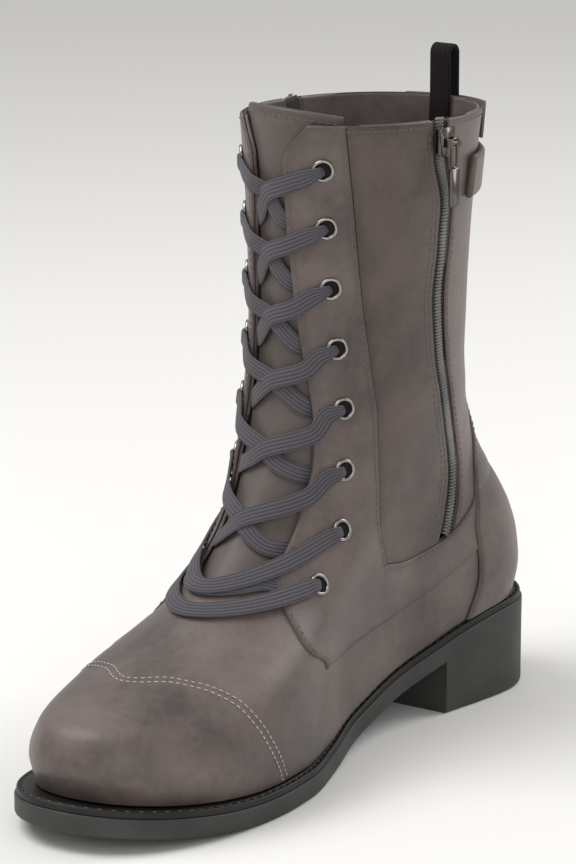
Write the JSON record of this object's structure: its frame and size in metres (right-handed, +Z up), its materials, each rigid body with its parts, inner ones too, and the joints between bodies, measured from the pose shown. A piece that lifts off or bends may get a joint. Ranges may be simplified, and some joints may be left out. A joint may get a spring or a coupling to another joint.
{
  "type": "lace-up boot",
  "caption": "Hollow calf-height lace-up boot for the right foot, with metal eyelets, side zips, block heel, back strap and webbing pull loop.",
  "frame": {"origin": "middle of the heel's tread, on the ground", "axes": "+X towards the toe, +Y towards the medial side of the right foot, +Z up"},
  "size_m": [0.2805, 0.0916, 0.2542],
  "materials": {
    "upper": "satin burnished taupe leather, fine grain",
    "tongue": "matte taupe leather",
    "strap": "satin taupe leather",
    "sole": "matte moulded rubber",
    "welt": "matte",
    "insole": "matte",
    "metal": "satin nickel plate",
    "lace": "flat braid",
    "zip": "coil and woven tape",
    "webbing": "woven webbing"
  },
  "bodies": {
    "boot": {"outsole": "sole", "heel": "sole", "welt": "welt", "insole": "insole", "upper": "upper", "tongue": "tongue", "backstay": "upper", "back_strap": "strap", "back_tab": "strap", "pull_loop": "webbing", "eyelet_medial_1": "metal", "eyelet_medial_2": "metal", "eyelet_medial_3": "metal", "eyelet_medial_4": "metal", "eyelet_medial_5": "metal", "eyelet_medial_6": "metal", "eyelet_medial_7": "metal", "eyelet_medial_8": "metal", "eyelet_lateral_1": "metal", "eyelet_lateral_2": "metal", "eyelet_lateral_3": "metal", "eyelet_lateral_4": "metal", "eyelet_lateral_5": "metal", "eyelet_lateral_6": "metal", "eyelet_lateral_7": "metal", "eyelet_lateral_8": "metal", "lace_crossing_1": "lace", "lace_crossing_2": "lace", "lace_crossing_3": "lace", "lace_crossing_4": "lace", "lace_crossing_5": "lace", "lace_crossing_6": "lace", "lace_crossing_7": "lace", "lace_bar": "lace", "medial_zip": "zip", "lateral_zip": "zip", "medial_slider": "metal", "lateral_slider": "metal"},
    "medial_tab": {"medial_pull": "metal"},
    "lateral_tab": {"lateral_pull": "metal"}
  },
  "joints": [
    {"name": "medial_pull_hinge", "type": "hinge", "parent": "boot", "child": "medial_tab", "pos_m": [0.05449, 0.04395, 0.22838], "axis": [0.9988, -0.0484, 0], "range_deg": [0, 150]},
    {"name": "lateral_pull_hinge", "type": "hinge", "parent": "boot", "child": "lateral_tab", "pos_m": [0.03847, -0.04162, 0.21179], "axis": [-0.9916, 0.1295, 0], "range_deg": [0, 150]}
  ]
}
